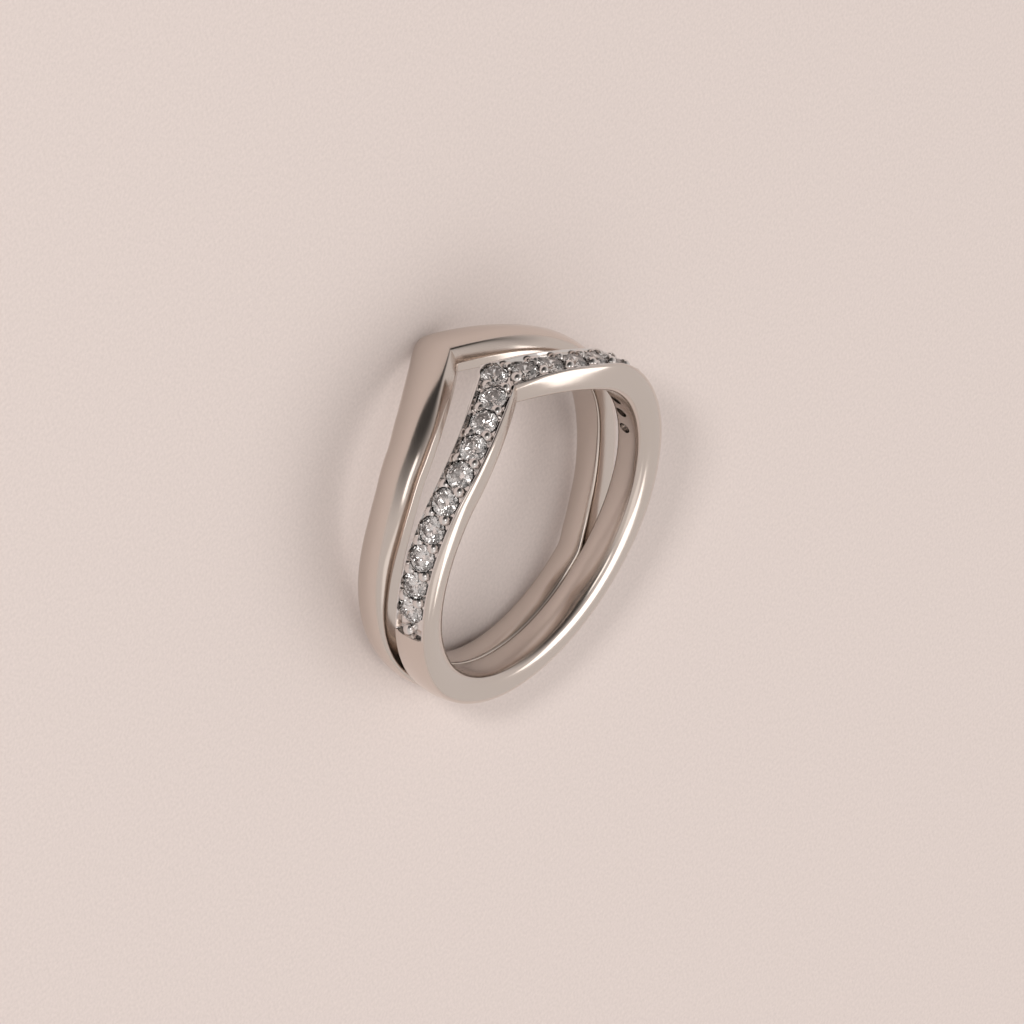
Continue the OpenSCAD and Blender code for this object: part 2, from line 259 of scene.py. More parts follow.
class Arms:
    """The lines of both bands round the finger, as lengths along the finger
    (metres) at an angle from the V (degrees). Widths are measured across an arm,
    so along the finger they grow by the root of one plus the arm's slope squared."""

    SLOPE_STEP = 0.5

    def __init__(self, sizes):
        self.s = sizes
        self.degree = (BORE_R + sizes.set_wall) * math.pi / 180
        self.head = sizes.near_rail + sizes.channel + sizes.far_rail
        self.middle = sizes.near_rail + sizes.channel / 2
        self.taper_in = [(0, 0), (90, 0), (115, 0.5), (sizes.join_angle, 1), (180, 1)]

    def near(self, t):
        """The V falls off as a power of what is left of the arm's bent stretch."""
        left = np.clip(1 - np.asarray(t, float) / self.s.v_angle, 0, None)
        return self.s.v_depth * left ** V_BEND

    def lengthen(self, line, t):
        """Root of one plus slope squared, the slope taken over a small step."""
        t = np.asarray(t, float)
        slope = (line(t + self.SLOPE_STEP) - line(t)) / (self.SLOPE_STEP * self.degree)
        return np.sqrt(1 + slope ** 2)

    def stretch(self, t):
        """How much longer a width is along the finger than across the arm."""
        return self.lengthen(self.near, t)

    def set_share(self, t):
        """Share of the way from the stone-set head to the plain back."""
        return smooth_at(self.taper_in, t)

    def width(self, t):
        """Width of the stone-set band along the finger."""
        return mix(self.head, self.s.set_back, self.set_share(t)) * self.stretch(t)

    def opening(self, t):
        """Slit between the bands, below nothing where they have run together."""
        share = smooth_at(OPENING, np.asarray(t, float) / self.s.join_angle)
        return (self.s.slit + self.s.overlap) * share - self.s.overlap

    def plain_near(self, t):
        """Edge of the plain band beside the slit."""
        return self.near(t) + self.width(t) + self.opening(t)

    def plain_width(self, t):
        """Width of the plain band along the finger, tapered from the V to the back."""
        across = mix(self.s.plain_v, self.s.plain_back, smooth_at(TAPER, t))
        return across * self.lengthen(self.plain_near, t)

    def plain_far(self, t):
        """The far edge, its tip rounded by reading it at the root of t squared
        plus the rounding squared."""
        t = np.sqrt(np.asarray(t, float) ** 2 + self.s.tip_round ** 2)
        return self.plain_near(t) + self.slant(t) + self.plain_width(t)

    def slant(self, t):
        """How far the edge beside the slit is set back on top."""
        return self.s.edge_slant * smooth_at(SLANT, t)

    def plain_rise(self, t):
        """Wall of the plain band: from the V to the sides, then from there to the back."""
        side = mix(self.s.plain_v_wall, self.s.plain_side_wall, smooth_at(RISE, t))
        return side + (self.s.plain_wall - self.s.plain_side_wall) * smooth_at(FALL, t)

    def set_rise(self, t):
        """Wall of the stone-set band, the same way."""
        side = mix(self.s.set_wall, self.s.set_side_wall, smooth_at(SET_RISE, t))
        return side + (self.s.set_wall - self.s.set_side_wall) * smooth_at(SET_FALL, t)

    def rail_at(self, t):
        """Radius of the rails."""
        return BORE_R + self.set_rise(t)

    def line(self, t):
        """The line of the stones, on the middle of the channel."""
        return self.near(t) + self.middle * self.stretch(t)

    def slope(self, t):
        """Rise of the line of stones over the length round the finger."""
        step = self.SLOPE_STEP
        return (self.line(t + step) - self.line(t)) / (step * self.degree)


def tipped(x, y, z):
    """Points of the row frame from the ring's own: a turn about X by the lean, then
    a shift to the ring's zero."""
    c, s = math.cos(LEAN), math.sin(LEAN)
    return np.stack([x, y * c + z * s, z * c - y * s], -1) + np.array(ZERO)


def spot(angle, r, along):
    """Points of the row frame from the angle round the finger (degrees), the
    radius and the length along the finger, a cylinder's coordinates."""
    a = np.radians(angle)
    return tipped(*np.broadcast_arrays(r * np.sin(a), -r * np.cos(a), -along))


def unrolled(points):
    """The reverse of spot: angle from the V, radius and length along the finger."""
    c, s = math.cos(LEAN), math.sin(LEAN)
    x, y, z = (points - np.array(ZERO)).T
    y, z = y * c - z * s, y * s + z * c
    return np.degrees(np.arctan2(x, -y)), np.hypot(x, y), -z


def corners(mesh):
    """The mesh's points as an array."""
    co = np.zeros(len(mesh.vertices) * 3)
    mesh.vertices.foreach_get("co", co)
    return co.reshape(-1, 3)


def bspline_rows(count, per_span):
    """Weights of a closed cubic B-spline over count control points, per_span
    samples to each span. Row times points gives a smooth closed curve."""
    rows = []
    for k in range(count):
        for u in np.arange(per_span[k]) / per_span[k]:
            row = np.zeros(count)
            weights = ((1 - u) ** 3, 3 * u ** 3 - 6 * u ** 2 + 4,
                       -3 * u ** 3 + 3 * u ** 2 + 3 * u + 1, u ** 3)
            for j, weight in enumerate(weights):
                row[(k - 1 + j) % count] += weight / 6
            rows.append(row)
    return np.array(rows)


def grid_faces(rows, columns, close_rows=True, close_columns=True):
    """Quads of a grid of points, closed round either way."""
    i = np.arange(rows if close_rows else rows - 1)
    j = np.arange(columns if close_columns else columns - 1)
    i, j = (g.ravel() for g in np.meshgrid(i, j, indexing="ij"))
    i2, j2 = (i + 1) % rows, (j + 1) % columns
    return np.stack([i * columns + j, i * columns + j2, i2 * columns + j2, i2 * columns + j], 1)


def new_mesh(name, points, faces):
    """A mesh object at the origin from arrays of points and faces."""
    mesh = bpy.data.meshes.new(name)
    rows = np.asarray(points, float).reshape(-1, 3)
    mesh.from_pydata(rows.tolist(), [], [list(map(int, face)) for face in faces])
    mesh.validate()
    mesh.update()
    obj = bpy.data.objects.new(name, mesh)
    bpy.context.scene.collection.objects.link(obj)
    return obj


def outward(obj):
    """Turns a closed mesh's faces outwards by the sign of its volume."""
    bm = bmesh.new()
    bm.from_mesh(obj.data)
    bmesh.ops.recalc_face_normals(bm, faces=bm.faces)
    if bm.calc_volume(signed=True) < 0:
        bmesh.ops.reverse_faces(bm, faces=bm.faces)
    bm.to_mesh(obj.data)
    bm.free()
    return obj


def stations(half, crowd):
    """Angles all round, closer together at the V: a share to a power above one."""
    side = 180 * (np.arange(half + 1) / half) ** crowd
    return np.concatenate([-side[-2:0:-1], side])


STATIONS = 262
CROWD = 1.12
# Extra sections at each end of the channel, over so many degrees either side, and the
# degrees over which the channel's floor rises to the crown
END_STATIONS = 9
END_CLOSE = 0.4
END_SOFT = 0.5
# Radius of the channel's edges
CHANNEL_EDGE = 0.035 * MM


def set_band_skin(arms, channel_end):
    """The stone-set band without its seats: a section carried round the finger.
    Each section is a closed B-spline through control points given as (length
    along the finger, radius). Inside the channel's ends the top has two rails and
    walls that lean in to a flat floor, and outside them it is a low crown; a share
    that falls from one to nothing at each end turns the one into the other."""
    s = arms.s
    a = stations(STATIONS, CROWD)
    close = channel_end + np.linspace(-END_CLOSE, END_CLOSE, END_STATIONS)
    ends = np.concatenate([-close, close])
    a = np.unique(np.concatenate([a, ends]))
    t = np.abs(a)
    w, k, near = arms.width(t), arms.stretch(t), arms.near(t)
    swell = s.swell * smooth_at(SWELL, t)
    lean = s.lean * (1 - arms.set_share(t))
    ease = s.ease * smooth_at(EASE, t)
    wall, rail_r = arms.set_rise(t), arms.rail_at(t)
    floor_r = rail_r - s.channel_deep
    inside = np.clip((channel_end - t) / END_SOFT + 0.5, 0, 1)
    inside = inside * inside * (3 - 2 * inside)
    thin = s.rail_thinning * smooth_at(THINNING, t) * k
    left, right = s.near_rail * k, (s.near_rail + s.channel) * k
    far = w - thin
    right = np.minimum(right, far - s.far_rail * 0.5 * k)
    slope = s.channel_slope * k

    def top(along):
        """Radius of the crown at a length across the band."""
        return rail_r + s.crown * smooth_at(CROWN, along / w)

    def sunk(along):
        return mix(top(along), floor_r, inside)

    edge = CHANNEL_EDGE
    low, high = left + slope, np.maximum(right - slope, left + slope)
    points = [
        (0.5 * w - 0.5 * lean, BORE_R - 0.05 * MM + 0 * t, 6),
        (0.2 * w, BORE_R + 0 * t, 4),
        (0.08 * w, BORE_R + 0.03 * wall, 4),
        (0.015 * w - 0.35 * swell, BORE_R + 0.15 * wall, 4),
        (-0.8 * swell, BORE_R + 0.35 * wall, 4),
        (-1.08 * swell, BORE_R + 0.58 * wall - 0.1 * ease, 4),
        (-0.9 * swell, BORE_R + 0.8 * wall - 0.5 * ease, 4),
        (0.01 * w - 0.5 * swell, rail_r - 0.06 * wall - ease, 4),
        (0.045 * w - 0.15 * swell, rail_r + 0.005 * wall - ease, 3),
        (left - edge, rail_r + 0.01 * wall - 0.7 * ease, 2),
        (left, rail_r + 0.005 * wall - 0.7 * ease, 2),
        (left + 0.2 * edge, mix(top(left), rail_r - edge - 0.6 * ease, inside), 2),
        (low - 0.2 * edge, mix(top(low), floor_r + edge, inside), 2),
        (low, sunk(low), 2),
        (low + edge, sunk(low + edge), 2),
        (mix(low, high, 0.25), sunk(mix(low, high, 0.25)), 2),
        (mix(low, high, 0.5), sunk(mix(low, high, 0.5)), 2),
        (mix(low, high, 0.75), sunk(mix(low, high, 0.75)), 2),
        (high - edge, sunk(high - edge), 2),
        (high, sunk(high), 2),
        (high + 0.2 * edge, mix(top(high), floor_r + edge, inside), 2),
        (right - 0.2 * edge, mix(top(right), rail_r - edge, inside), 2),
        (right, mix(top(right), rail_r, inside), 2),
        (right + edge, mix(top(right), rail_r, inside), 2),
        (far - edge, rail_r + 0 * t, 2),
        (far, rail_r - edge + 0 * t, 3),
        (far - 0.1 * lean, BORE_R + 0.8 * wall, 4),
        (mix(far, w, 0.5) - 0.55 * lean, BORE_R + 0.4 * wall, 4),
        (0.99 * w - 0.92 * lean, BORE_R + 0.09 * wall, 3),
        (0.9 * w - lean, BORE_R + 0 * t, 4),
    ]
    rows = bspline_rows(len(points), [p[2] for p in points])
    along = rows @ np.array([near + p[0] for p in points])
    r = rows @ np.array([p[1] for p in points])
    grid = spot(a[:, None], r.T, along.T)
    return outward(new_mesh("set_band_skin", grid, grid_faces(len(a), len(rows))))


# Section of the plain band, three times over: beside the V, where the slanted edge is
# crisp, along the arms, where it is rounded, and at the back, where there is none.
# Each point: share of the width, share of the slant, share of the wall.
CRISP = [(0.45, 0, -0.03), (0.14, 0, 0), (0.04, 0, 0.012), (0.004, 0, 0.05), (0, 0, 0.15),
         (0, 0, 0.34), (0, 0, 0.455), (0, 0.01, 0.48), (0, 0.05, 0.505), (0, 0.5, 0.745),
         (0.01, 0.93, 0.955), (0.025, 0.99, 0.98), (0.05, 1, 0.99), (0.14, 1, 1.005),
         (0.28, 1, 1.015), (0.44, 1, 1.01), (0.6, 1, 0.99), (0.77, 1, 0.955),
         (0.91, 1, 0.88), (1, 1, 0.72), (1.03, 1, 0.47), (0.98, 1, 0.2), (0.9, 1, 0.05),
         (0.76, 1, 0)]
ROUND = CRISP[:7] + [
    (0, 0.005, 0.485), (0, 0.03, 0.52), (0, 0.25, 0.665), (0, 0.62, 0.8), (0, 1, 0.885),
    (0.1, 1, 0.94), (0.2, 1, 0.975), (0.32, 1, 1), (0.46, 1, 1.01)] + CRISP[16:]
PLAIN = [(0.45, 0, -0.03), (0.14, 0, 0), (0.05, 0, 0.02), (0.01, 0, 0.07), (0, 0, 0.18),
         (0, 0, 0.42), (0, 0, 0.66), (0, 0, 0.8), (0.002, 0, 0.875), (0.015, 0.3, 0.925),
         (0.04, 0.7, 0.955), (0.07, 1, 0.972), (0.11, 1, 0.985), (0.18, 1, 1),
         (0.28, 1, 1.01), (0.44, 1, 1.015)] + CRISP[16:]
# How much lower the far shoulder lies at the V, as shares of the wall
LOWERED = [0] * 15 + [0.02, 0.045, 0.09, 0.13, 0.15, 0.12, 0.04, 0, 0]
PLAIN_SAMPLES = [5, 3, 3, 3, 3, 3, 2, 2, 3, 4, 3, 3, 3, 3, 4, 4, 4, 4, 4, 4, 4, 3, 3, 4]


def plain_band_skin(arms):
    """The plain band: a dome over a wall beside the slit, with a slanted edge between
    them. Its section is a closed B-spline whose control points are mixed from three
    sections by two shares of the angle from the V, and it is carried round the finger."""
    a = stations(STATIONS - 1, CROWD)
    t = np.abs(a)
    near, wall, back = arms.plain_near(t), arms.plain_rise(t), arms.slant(t)
    width = arms.plain_far(t) - near - back
    crisp, rounded, plain = (np.array(x)[:, :, None] for x in (CRISP, ROUND, PLAIN))
    slanted = mix(crisp, rounded, smooth_at(ROUNDING, t))
    section = mix(plain, slanted, smooth_at(SLANT, t))
    section[:, 2] -= np.array(LOWERED)[:, None] * smooth_at(SHOULDER, t)
    rows = bspline_rows(len(PLAIN_SAMPLES), PLAIN_SAMPLES)
    along = rows @ (near + section[:, 0] * width + section[:, 1] * back)
    r = rows @ (BORE_R + section[:, 2] * wall)
    grid = spot(a[:, None], r.T, along.T)
    return outward(new_mesh("plain_band_skin", grid, grid_faces(len(a), len(rows))))


def stone_places(stones):
    """Angle, girdle radius and length along the finger of each stone, from the
    culet of its CAD solid, the point nearest the finger's axis."""
    depth = CULET_SHARE * stones.diameter
    places = {}
    for name in STONE_NODES:
        angle, r, along = unrolled(corners(frame["nodes"][name].data))
        tip = np.argmin(r)
        places[name] = (angle[tip], r[tip] + depth, along[tip])
    return places


def placed(points, angle, r, along):
    """Points given as (across, along the finger, outwards) round a place on the
    ring, carried to the row frame."""
    a = math.radians(angle)
    out = np.array([math.sin(a), -math.cos(a), 0])
    side = np.array([math.cos(a), math.sin(a), 0])
    down = np.array([0, 0, -1.0])
    local = points @ np.stack([side, down, out]) + out * r + down * along
    return tipped(*local.T)


def ring_points(radius, height, count, turn=0.0):
    """A level circle of points."""
    a = (np.arange(count) + turn) * 2 * math.pi / count
    return np.stack([radius * np.cos(a), radius * np.sin(a), np.full(count, height)], 1)


def turned_solid(name, profile, sides, place):
    """A closed solid of revolution from a profile of (radius, height), pointed or
    flat at its two ends, set on the ring at a place."""
    rings = [ring_points(r, h, sides) for r, h in profile]
    points = np.concatenate(rings)
    faces = grid_faces(len(profile), sides, close_rows=False).tolist()
    faces.append(list(range(sides))[::-1])
    faces.append([(len(profile) - 1) * sides + i for i in range(sides)])
    return outward(new_mesh(name, placed(points, *place), faces))


def brilliant_mesh(radius):
    """Points and facets of a round brilliant, girdle at the origin: a table of
    eight sides, eight stars, eight kites, sixteen upper and sixteen lower halves
    and eight pavilion mains. Each kite and main lies in the plane of its slope,
    so a point's height follows from its distance along that slope's direction."""
    half = math.cos(math.pi / 8)
    top = GIRDLE_SHARE
    table = ring_points(TABLE_SHARE, top + (1 - TABLE_SHARE) * CROWN_SLOPE, 8)
    star = ring_points(STAR_SHARE, top + (1 - STAR_SHARE * half) * CROWN_SLOPE, 8, 0.5)
    upper = ring_points(1, top, 16)
    lower = ring_points(1, 0, 16)
    main = ring_points(LOWER_SHARE, -(1 - LOWER_SHARE * half) * PAVILION_SLOPE, 8, 0.5)
    culet = np.array([[0, 0, -PAVILION_SLOPE]])
    points = np.concatenate([table, star, upper, lower, main, culet]) * radius
    # Where each ring of points starts; the table's comes first
    stars, uppers, lowers, mains, tip = 8, 16, 32, 48, 56
    faces = [list(range(8))]
    for k in range(8):
        after, before = (k + 1) % 8, (k - 1) % 8
        first, middle, last = 2 * k, 2 * k + 1, (2 * k + 2) % 16
        faces += [[k, stars + k, after],
                  [k, stars + before, uppers + first, stars + k],
                  [stars + k, uppers + first, uppers + middle],
                  [stars + k, uppers + middle, uppers + last],
                  [mains + k, lowers + middle, lowers + first],
                  [mains + k, lowers + last, lowers + middle],
                  [tip, mains + k, lowers + first, mains + before]]
    for j in range(16):
        after = (j + 1) % 16
        faces.append([uppers + j, lowers + j, lowers + after, uppers + after])
    return points, faces


def apply_modifiers(obj):
    """Leaves the object with its finished mesh and no modifiers."""
    bpy.context.view_layer.update()
    evaluated = obj.evaluated_get(bpy.context.evaluated_depsgraph_get())
    finished = bpy.data.meshes.new_from_object(evaluated)
    obj.modifiers.clear()
    old = obj.data
    obj.data = finished
    bpy.data.meshes.remove(old)
    return obj


def cut_or_join(obj, other, operation):
    """Joins or takes away another closed solid, which is used up."""
    step = obj.modifiers.new(operation.lower(), "BOOLEAN")
    step.operation = operation
    step.solver = "MANIFOLD"
    step.object = other
    apply_modifiers(obj)
    bpy.data.objects.remove(other)
    return obj


BEAD_SIDES = 24
BEAD_RINGS = 12
# Where a bead's flat tip starts, and its stem, as shares of its own quarter turn and radius
BEAD_TIP = 0.04
STEM_WIDE = 0.96
STEM_DEEP = 1.3
SEAT_SIDES = 32
# How far the seats' cuts run past the metal
CUT_PAST = 0.6 * MM


def bead_solid(name, place, diameter):
    """A ball with its lower half drawn down into a short stem, so that it grows
    out of the channel's floor."""
    r = diameter / 2
    turn = np.linspace(BEAD_TIP, 1, BEAD_RINGS) * math.pi / 2
    profile = [(r * math.sin(x), r * math.cos(x)) for x in turn]
    profile.append((STEM_WIDE * r, -STEM_DEEP * r))
    return turned_solid(name, profile, BEAD_SIDES, place)


def bead_places(arms, stones, order):
    """Angle, radius and length along the finger of each bead between stones: two for
    each pair of neighbours, level with each other across the arm."""
    below = stones.bead_proud - stones.bead / 2
    offset = arms.s.channel / 2 - stones.bead_inset
    found = []
    for side in (-1, 1):
        angles = [0] + sorted(abs(a) for a in order if a * side > 1)
        for a, b in zip(angles, angles[1:]):
            m = (a + b) / 2
            for row in (-1, 1):
                off = row * offset / float(arms.stretch(m))
                turn = m - off * float(arms.slope(m)) / arms.degree
                height = float(arms.rail_at(m)) + below
                found.append((side * turn, height, float(arms.line(m)) + off))
    return found


# Faces that meet at more than this angle keep a crisp edge
SHARP_FROM = math.radians(28)


def shade_smooth(mesh):
    """Smooth faces, split where two meet at more than a set angle."""
    mesh.polygons.foreach_set("use_smooth", np.ones(len(mesh.polygons), bool))
    mesh.set_sharp_from_angle(angle=SHARP_FROM)


# The bright metal reaches this far down from the rails, and this near the finger
# inside the channel; its edges lie this share of the near rail in, and this far out
BRIGHT_DEEP = 0.1 * MM
BRIGHT_FROM_BORE = 0.3 * MM
BRIGHT_RAIL_IN = 0.6
BRIGHT_CHANNEL_IN = 0.9
BRIGHT_PAST = 0.02 * MM


def mark_setting(obj, arms, channel_end):
    """Writes one into the point attribute "setting" on the rails, the beads and all
    that lies in the channel, and zero elsewhere. A point's length across the band is
    its length along the finger from the near edge, over the arm's stretch."""
    angle, r, along = unrolled(corners(obj.data))
    t = np.abs(angle)
    across = (along - arms.near(t)) / arms.stretch(t)
    s = arms.s
    thin = s.rail_thinning * smooth_at(THINNING, t)
    between = (across > BRIGHT_RAIL_IN * s.near_rail) & (across < arms.head - thin + BRIGHT_PAST)
    channel = (across > BRIGHT_CHANNEL_IN * s.near_rail) & (across < s.near_rail + s.channel - thin)
    high = r > arms.rail_at(t) - BRIGHT_DEEP
    deep = r > BORE_R + BRIGHT_FROM_BORE
    inside = between & (high | channel & deep) & (t < channel_end)
    mark = obj.data.attributes.new("setting", "FLOAT", "POINT")
    mark.data.foreach_set("value", inside.astype(float))


# Marks of polishing: clouds and waves to the metre, their strengths, and the waves' depth
CLOUD_SCALE = 900
CLOUD_DETAIL = 4
CLOUD_STRENGTH = 0.03
WAVE_SCALE = 350
WAVE_DETAIL = 1
WAVE_STRENGTH = 0.15
WAVE_DEPTH = 0.02 * MM
# Refraction of the stones
STONE_IOR = 2.42
# Paper: grain to the metre, how far it takes the colour up and down, and its dullness
GRAIN_SCALE = 5200
GRAIN_SHARE = 0.1
PAPER_ROUGH = 0.9
PAPER_GLOSS = 0.1


def socket(group, name, kind, way="INPUT", value=None):
    """A named input or output of a shader group."""
    made = group.interface.new_socket(name, in_out=way, socket_type=kind)
    if value is not None:
        made.default_value = value
    return made


def polish_group():
    """Marks of polishing, for any metal: soft clouds of noise, centred on nothing, are
    added to a roughness, and low waves of the buffing wheel give a bump."""
    group = bpy.data.node_groups.new("polish_marks", "ShaderNodeTree")
    socket(group, "Roughness", "NodeSocketFloat")
    socket(group, "Cloud", "NodeSocketFloat", value=CLOUD_STRENGTH)
    socket(group, "Wave", "NodeSocketFloat", value=WAVE_STRENGTH)
    socket(group, "Roughness", "NodeSocketFloat", way="OUTPUT")
    socket(group, "Normal", "NodeSocketVector", way="OUTPUT")
    nodes, links = group.nodes, group.links
    start, end = nodes.new("NodeGroupInput"), nodes.new("NodeGroupOutput")
    place = nodes.new("ShaderNodeTexCoord")
    cloud = nodes.new("ShaderNodeTexNoise")
    cloud.inputs["Scale"].default_value = CLOUD_SCALE
    cloud.inputs["Detail"].default_value = CLOUD_DETAIL
    links.new(place.outputs["Object"], cloud.inputs["Vector"])
    centred = nodes.new("ShaderNodeMath")
    centred.operation = "SUBTRACT"
    centred.inputs[1].default_value = 0.5
    links.new(cloud.outputs["Fac"], centred.inputs[0])
    scaled = nodes.new("ShaderNodeMath")
    scaled.operation = "MULTIPLY"
    links.new(centred.outputs[0], scaled.inputs[0])
    links.new(start.outputs["Cloud"], scaled.inputs[1])
    total = nodes.new("ShaderNodeMath")
    total.operation = "ADD"
    total.use_clamp = True
    links.new(scaled.outputs[0], total.inputs[0])
    links.new(start.outputs["Roughness"], total.inputs[1])
    links.new(total.outputs[0], end.inputs["Roughness"])
    wave = nodes.new("ShaderNodeTexNoise")
    wave.inputs["Scale"].default_value = WAVE_SCALE
    wave.inputs["Detail"].default_value = WAVE_DETAIL
    links.new(place.outputs["Object"], wave.inputs["Vector"])
    bump = nodes.new("ShaderNodeBump")
    bump.inputs["Distance"].default_value = WAVE_DEPTH
    links.new(wave.outputs["Fac"], bump.inputs["Height"])
    links.new(start.outputs["Wave"], bump.inputs["Strength"])
    links.new(bump.outputs["Normal"], end.inputs["Normal"])
    return group


def principled(name):
    """A new material, its node tree and its shader."""
    material = bpy.data.materials.new(name)
    material.use_nodes = True
    return material, material.node_tree, material.node_tree.nodes["Principled BSDF"]


def metal_material(finish):
    """Warm white metal with faint marks of polishing. Where the attribute "setting" is
    one its colour and its roughness are those of the bright-cut metal."""
    material, tree, shader = principled("warm_white_metal")
    shader.inputs["Metallic"].default_value = 1
    mark = tree.nodes.new("ShaderNodeAttribute")
    mark.attribute_name = "setting"
    colour = tree.nodes.new("ShaderNodeMix")
    colour.data_type = "RGBA"
    colour.inputs["A"].default_value = finish.metal
    colour.inputs["B"].default_value = finish.setting
    tree.links.new(mark.outputs["Fac"], colour.inputs["Factor"])
    tree.links.new(colour.outputs["Result"], shader.inputs["Base Color"])
    marks = tree.nodes.new("ShaderNodeGroup")
    marks.node_tree = polish_group()
    rough = tree.nodes.new("ShaderNodeMix")
    rough.inputs["A"].default_value = finish.metal_rough
    rough.inputs["B"].default_value = finish.setting_rough
    tree.links.new(mark.outputs["Fac"], rough.inputs["Factor"])
    tree.links.new(rough.outputs["Result"], marks.inputs["Roughness"])
    tree.links.new(marks.outputs["Roughness"], shader.inputs["Roughness"])
    tree.links.new(marks.outputs["Normal"], shader.inputs["Normal"])
    return material


def stone_material(finish):
    """Clear stone with a diamond's refraction."""
    material, tree, shader = principled("brilliant_stone")
    shader.inputs["Base Color"].default_value = finish.stone
    shader.inputs["Metallic"].default_value = 0
    shader.inputs["Roughness"].default_value = 0
    shader.inputs["IOR"].default_value = STONE_IOR
    shader.inputs["Transmission Weight"].default_value = 1
    return material


def floor_material(finish):
    """Matte paper: a fine noise takes its colour a little up and down."""
    material, tree, shader = principled("studio_paper")
    place = tree.nodes.new("ShaderNodeTexCoord")
    grain = tree.nodes.new("ShaderNodeTexNoise")
    grain.inputs["Scale"].default_value = GRAIN_SCALE
    grain.inputs["Detail"].default_value = 1
    tree.links.new(place.outputs["Object"], grain.inputs["Vector"])
    colour = tree.nodes.new("ShaderNodeMix")
    colour.data_type = "RGBA"
    colour.inputs["A"].default_value = [(1 - GRAIN_SHARE) * v for v in finish.floor]
    colour.inputs["B"].default_value = [(1 + GRAIN_SHARE) * v for v in finish.floor]
    tree.links.new(grain.outputs["Fac"], colour.inputs["Factor"])
    tree.links.new(colour.outputs["Result"], shader.inputs["Base Color"])
    shader.inputs["Roughness"].default_value = PAPER_ROUGH
    shader.inputs["Specular IOR Level"].default_value = PAPER_GLOSS
    return material


# From the last stone to its end bead, and how much of that bead's radius the channel holds
END_BEAD_GAP = 0.14 * MM
END_BEAD_IN = 0.75


class RING_OT_band(bpy.types.Operator):
    """Build the polished band with its channel, seats and beads"""

    bl_idname = "ring.band"
    bl_label = "Band"

    def execute(self, context):
        scene = context.scene
        arms, stones = Arms(scene.ring_sizes), scene.stone_sizes
        places = stone_places(stones)
        order = [p[0] for p in places.values()]
        reach = stones.diameter / 2 + END_BEAD_GAP + stones.end_bead / 2
        end_angle = max(order) + reach / arms.degree
        channel_end = end_angle + END_BEAD_IN * stones.end_bead / 2 / arms.degree
        ring = set_band_skin(arms, channel_end)
        ring.name = "polished_band"
        cut_or_join(ring, plain_band_skin(arms), "UNION")
        for place in bead_places(arms, stones, order):
            cut_or_join(ring, bead_solid("bead", place, stones.bead), "UNION")
        centre_r = float(arms.rail_at(end_angle)) + stones.bead_proud - stones.end_bead / 2
        end_along = float(arms.line(end_angle))
        for side in (-1, 1):
            place = (side * end_angle, centre_r, end_along)
            cut_or_join(ring, bead_solid("end_bead", place, stones.end_bead), "UNION")
        for place in places.values():
            cut_or_join(ring, self.seat(stones, place), "DIFFERENCE")
        mark_setting(ring, arms, channel_end)
        shade_smooth(ring.data)
        ring.data.materials.clear()
        ring.data.materials.append(metal_material(scene.ring_finish))
        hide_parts(BAND)
        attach(ring, "root")
        return {"FINISHED"}

    def seat(self, stones, place):
        """The cut for a stone and the hole behind it, as one turned solid: a cone of
        the stone's own slope between a wide and a narrow cylinder."""
        r = stones.diameter / 2 + stones.seat_gap
        hole = stones.back_hole / 2
        deep = r * PAVILION_SLOPE
        slope_end = deep * (1 - hole / r)
        girdle_r = place[1]
        through = girdle_r - BORE_R + CUT_PAST
        profile = [(hole, -through), (hole, -slope_end), (r, 0), (r, CUT_PAST)]
        return turned_solid("seat", profile, SEAT_SIDES, place)


class RING_OT_stones(bpy.types.Operator):
    """Build the cut brilliants in their seats"""

    bl_idname = "ring.stones"
    bl_label = "Stones"

    def execute(self, context):
        scene = context.scene
        stones = scene.stone_sizes
        material = stone_material(scene.ring_finish)
        points, faces = brilliant_mesh(stones.diameter / 2)
        for name, place in stone_places(stones).items():
            made = new_mesh(name.replace("stone", "brilliant"), placed(points, *place), faces)
            outward(made)
            made.data.materials.append(material)
            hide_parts(name)
            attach(made, "root")
        return {"FINISHED"}


# The photo's view of the ring, in the ring's own directions: turn and height of the
# camera, its roll, the scale in pixels a metre and where the ring's zero falls
VIEW_TURN = math.radians(51.5)
VIEW_HEIGHT = math.radians(43.93)
VIEW_ROLL = math.radians(-0.17)
VIEW_SCALE = 18287.0
VIEW_DISTANCE = 0.5556
ZERO_PIXEL = (544.07, 535.72)
PHOTO_SIDE = 1024


def photo_camera():
    """The camera of the photo: its directions are worked out in the ring's own
    frame and turned with the ring onto its side."""
    ca, sa = math.cos(VIEW_TURN), math.sin(VIEW_TURN)
    ce, se = math.cos(VIEW_HEIGHT), math.sin(VIEW_HEIGHT)
    back = Vector((ce * sa, -se, ce * ca))
    right = Vector((-ca, 0, sa))
    up = Vector((-se * sa, -ce, -se * ca))
    cr, sr = math.cos(VIEW_ROLL), math.sin(VIEW_ROLL)
    right, up = right * cr - up * sr, right * sr + up * cr
    tip = Matrix.Rotation(-LEAN, 3, "X")
    back, right, up = tip @ back, tip @ right, tip @ up
    shift_x = (PHOTO_SIDE / 2 - ZERO_PIXEL[0]) / VIEW_SCALE
    shift_y = (ZERO_PIXEL[1] - PHOTO_SIDE / 2) / VIEW_SCALE
    data = bpy.data.cameras.new("photo_camera")
    data.lens = VIEW_SCALE * VIEW_DISTANCE * data.sensor_width / PHOTO_SIDE
    data.clip_start, data.clip_end = 0.01, 10
    camera = bpy.data.objects.new("photo_camera", data)
    place = ZERO + back * VIEW_DISTANCE + right * shift_x + up * shift_y
    turn = Matrix((right, up, back)).transposed()
    camera.matrix_world = Matrix.Translation(place) @ turn.to_4x4()
    bpy.context.scene.collection.objects.link(camera)
    bpy.context.scene.camera = camera
    return camera


